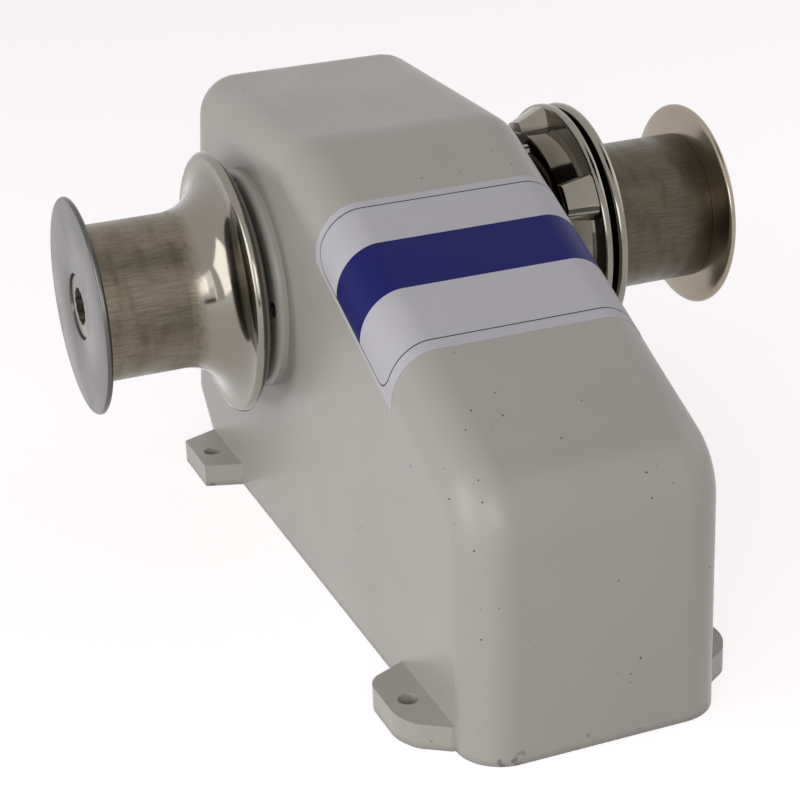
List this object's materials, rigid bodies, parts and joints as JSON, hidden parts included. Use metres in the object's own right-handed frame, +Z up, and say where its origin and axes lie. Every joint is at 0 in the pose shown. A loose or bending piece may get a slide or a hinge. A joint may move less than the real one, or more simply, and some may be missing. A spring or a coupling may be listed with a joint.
{
  "type": "horizontal anchor windlass",
  "caption": "Horizontal electric anchor windlass: sloped white housing, two warping drums on a cross shaft, and a pocketed chain wheel with a cone clutch beside the right drum.",
  "frame": {"origin": "centre of the four deck bolt holes on the deck face under the lugs", "axes": "+X along the drum shaft towards the chain wheel, +Y from the motor end towards the drums, +Z up"},
  "size_m": [0.3893, 0.4635, 0.253],
  "materials": {
    "paint": "gloss white paint",
    "satin_stainless": "satin stainless steel",
    "polished_stainless": "polished stainless steel",
    "plain_steel": "machined steel",
    "cast_iron": "machined casting",
    "cast_aluminium": "cast",
    "bronze": "machined bronze",
    "copper": "enamelled copper",
    "black_rubber": "matte",
    "black_plastic": "moulded",
    "carbon": "pressed carbon",
    "ferrite": "sintered ferrite",
    "label": "plain printed sheet without text"
  },
  "bodies": {
    "frame": {"housing": "paint", "base_plate": "cast_aluminium", "base_screws": "plain_steel", "cable_grommet": "black_rubber", "left_bearing_carrier": "paint", "left_carrier_screws": "plain_steel", "left_bearing_outer": "plain_steel", "left_oil_seal": "black_rubber", "right_bearing_carrier": "paint", "right_carrier_screws": "plain_steel", "right_bearing_outer": "plain_steel", "right_oil_seal": "black_rubber", "gear_bracket": "cast_aluminium", "bracket_screws": "plain_steel", "worm_front_bearing_outer": "plain_steel", "worm_rear_bearing_outer": "plain_steel", "motor_can": "plain_steel", "motor_front_bell": "cast_aluminium", "motor_rear_bell": "cast_aluminium", "motor_through_bolts": "plain_steel", "motor_magnets": "ferrite", "brush_plate": "black_plastic", "brushes": "carbon", "terminal_studs": "bronze", "motor_cradle": "cast_aluminium", "motor_strap": "plain_steel", "strap_screws": "plain_steel", "label_sheet": "label"},
    "drum_shaft": {"main_shaft": "plain_steel", "wheel_key": "plain_steel", "left_drum_key": "plain_steel", "clutch_cone_key": "plain_steel", "right_drum_key": "plain_steel", "shaft_spacer": "plain_steel", "worm_wheel_rim": "bronze", "worm_wheel_hub": "cast_iron", "wheel_bolts": "plain_steel", "left_bearing_inner": "plain_steel", "right_bearing_inner": "plain_steel", "left_drum": "satin_stainless", "left_end_flange": "satin_stainless", "left_drum_nut": "satin_stainless", "inner_clutch_cone": "polished_stainless"},
    "chain_wheel": {"chain_gypsy": "polished_stainless", "gypsy_bush": "bronze"},
    "sliding_drum": {"right_drum": "polished_stainless", "right_end_flange": "polished_stainless", "outer_clutch_cone": "polished_stainless"},
    "drum_nut": {"clutch_nut": "satin_stainless"},
    "worm_set": {"worm_shaft": "plain_steel", "motor_coupling": "plain_steel", "armature_shaft": "plain_steel", "armature_core": "plain_steel", "armature_windings": "copper", "commutator": "copper", "worm_front_bearing_inner": "plain_steel", "worm_rear_bearing_inner": "plain_steel"}
  },
  "joints": [
    {"name": "worm_spin", "type": "hinge", "parent": "frame", "child": "worm_set", "pos_m": [0, 0, 0.062], "axis": [0, 1, 0], "continuous": true},
    {"name": "shaft_spin", "type": "hinge", "parent": "frame", "child": "drum_shaft", "pos_m": [0, 0.089, 0.155], "axis": [1, 0, 0], "continuous": true},
    {"name": "gypsy_spin", "type": "hinge", "parent": "drum_shaft", "child": "chain_wheel", "pos_m": [0, 0.089, 0.155], "axis": [1, 0, 0], "continuous": true},
    {"name": "clutch_slide", "type": "slide", "parent": "drum_shaft", "child": "sliding_drum", "axis": [1, 0, 0], "range_m": [0, 0.002]},
    {"name": "nut_turn", "type": "hinge", "parent": "sliding_drum", "child": "drum_nut", "pos_m": [0, 0.089, 0.155], "axis": [1, 0, 0], "range_deg": [0, 360]}
  ],
  "couplings": [
    {"joint": "shaft_spin", "follows": "worm_spin", "ratio": -0.02},
    {"joint": "nut_turn", "follows": "clutch_slide", "rad_per_m": 3141.5}
  ]
}
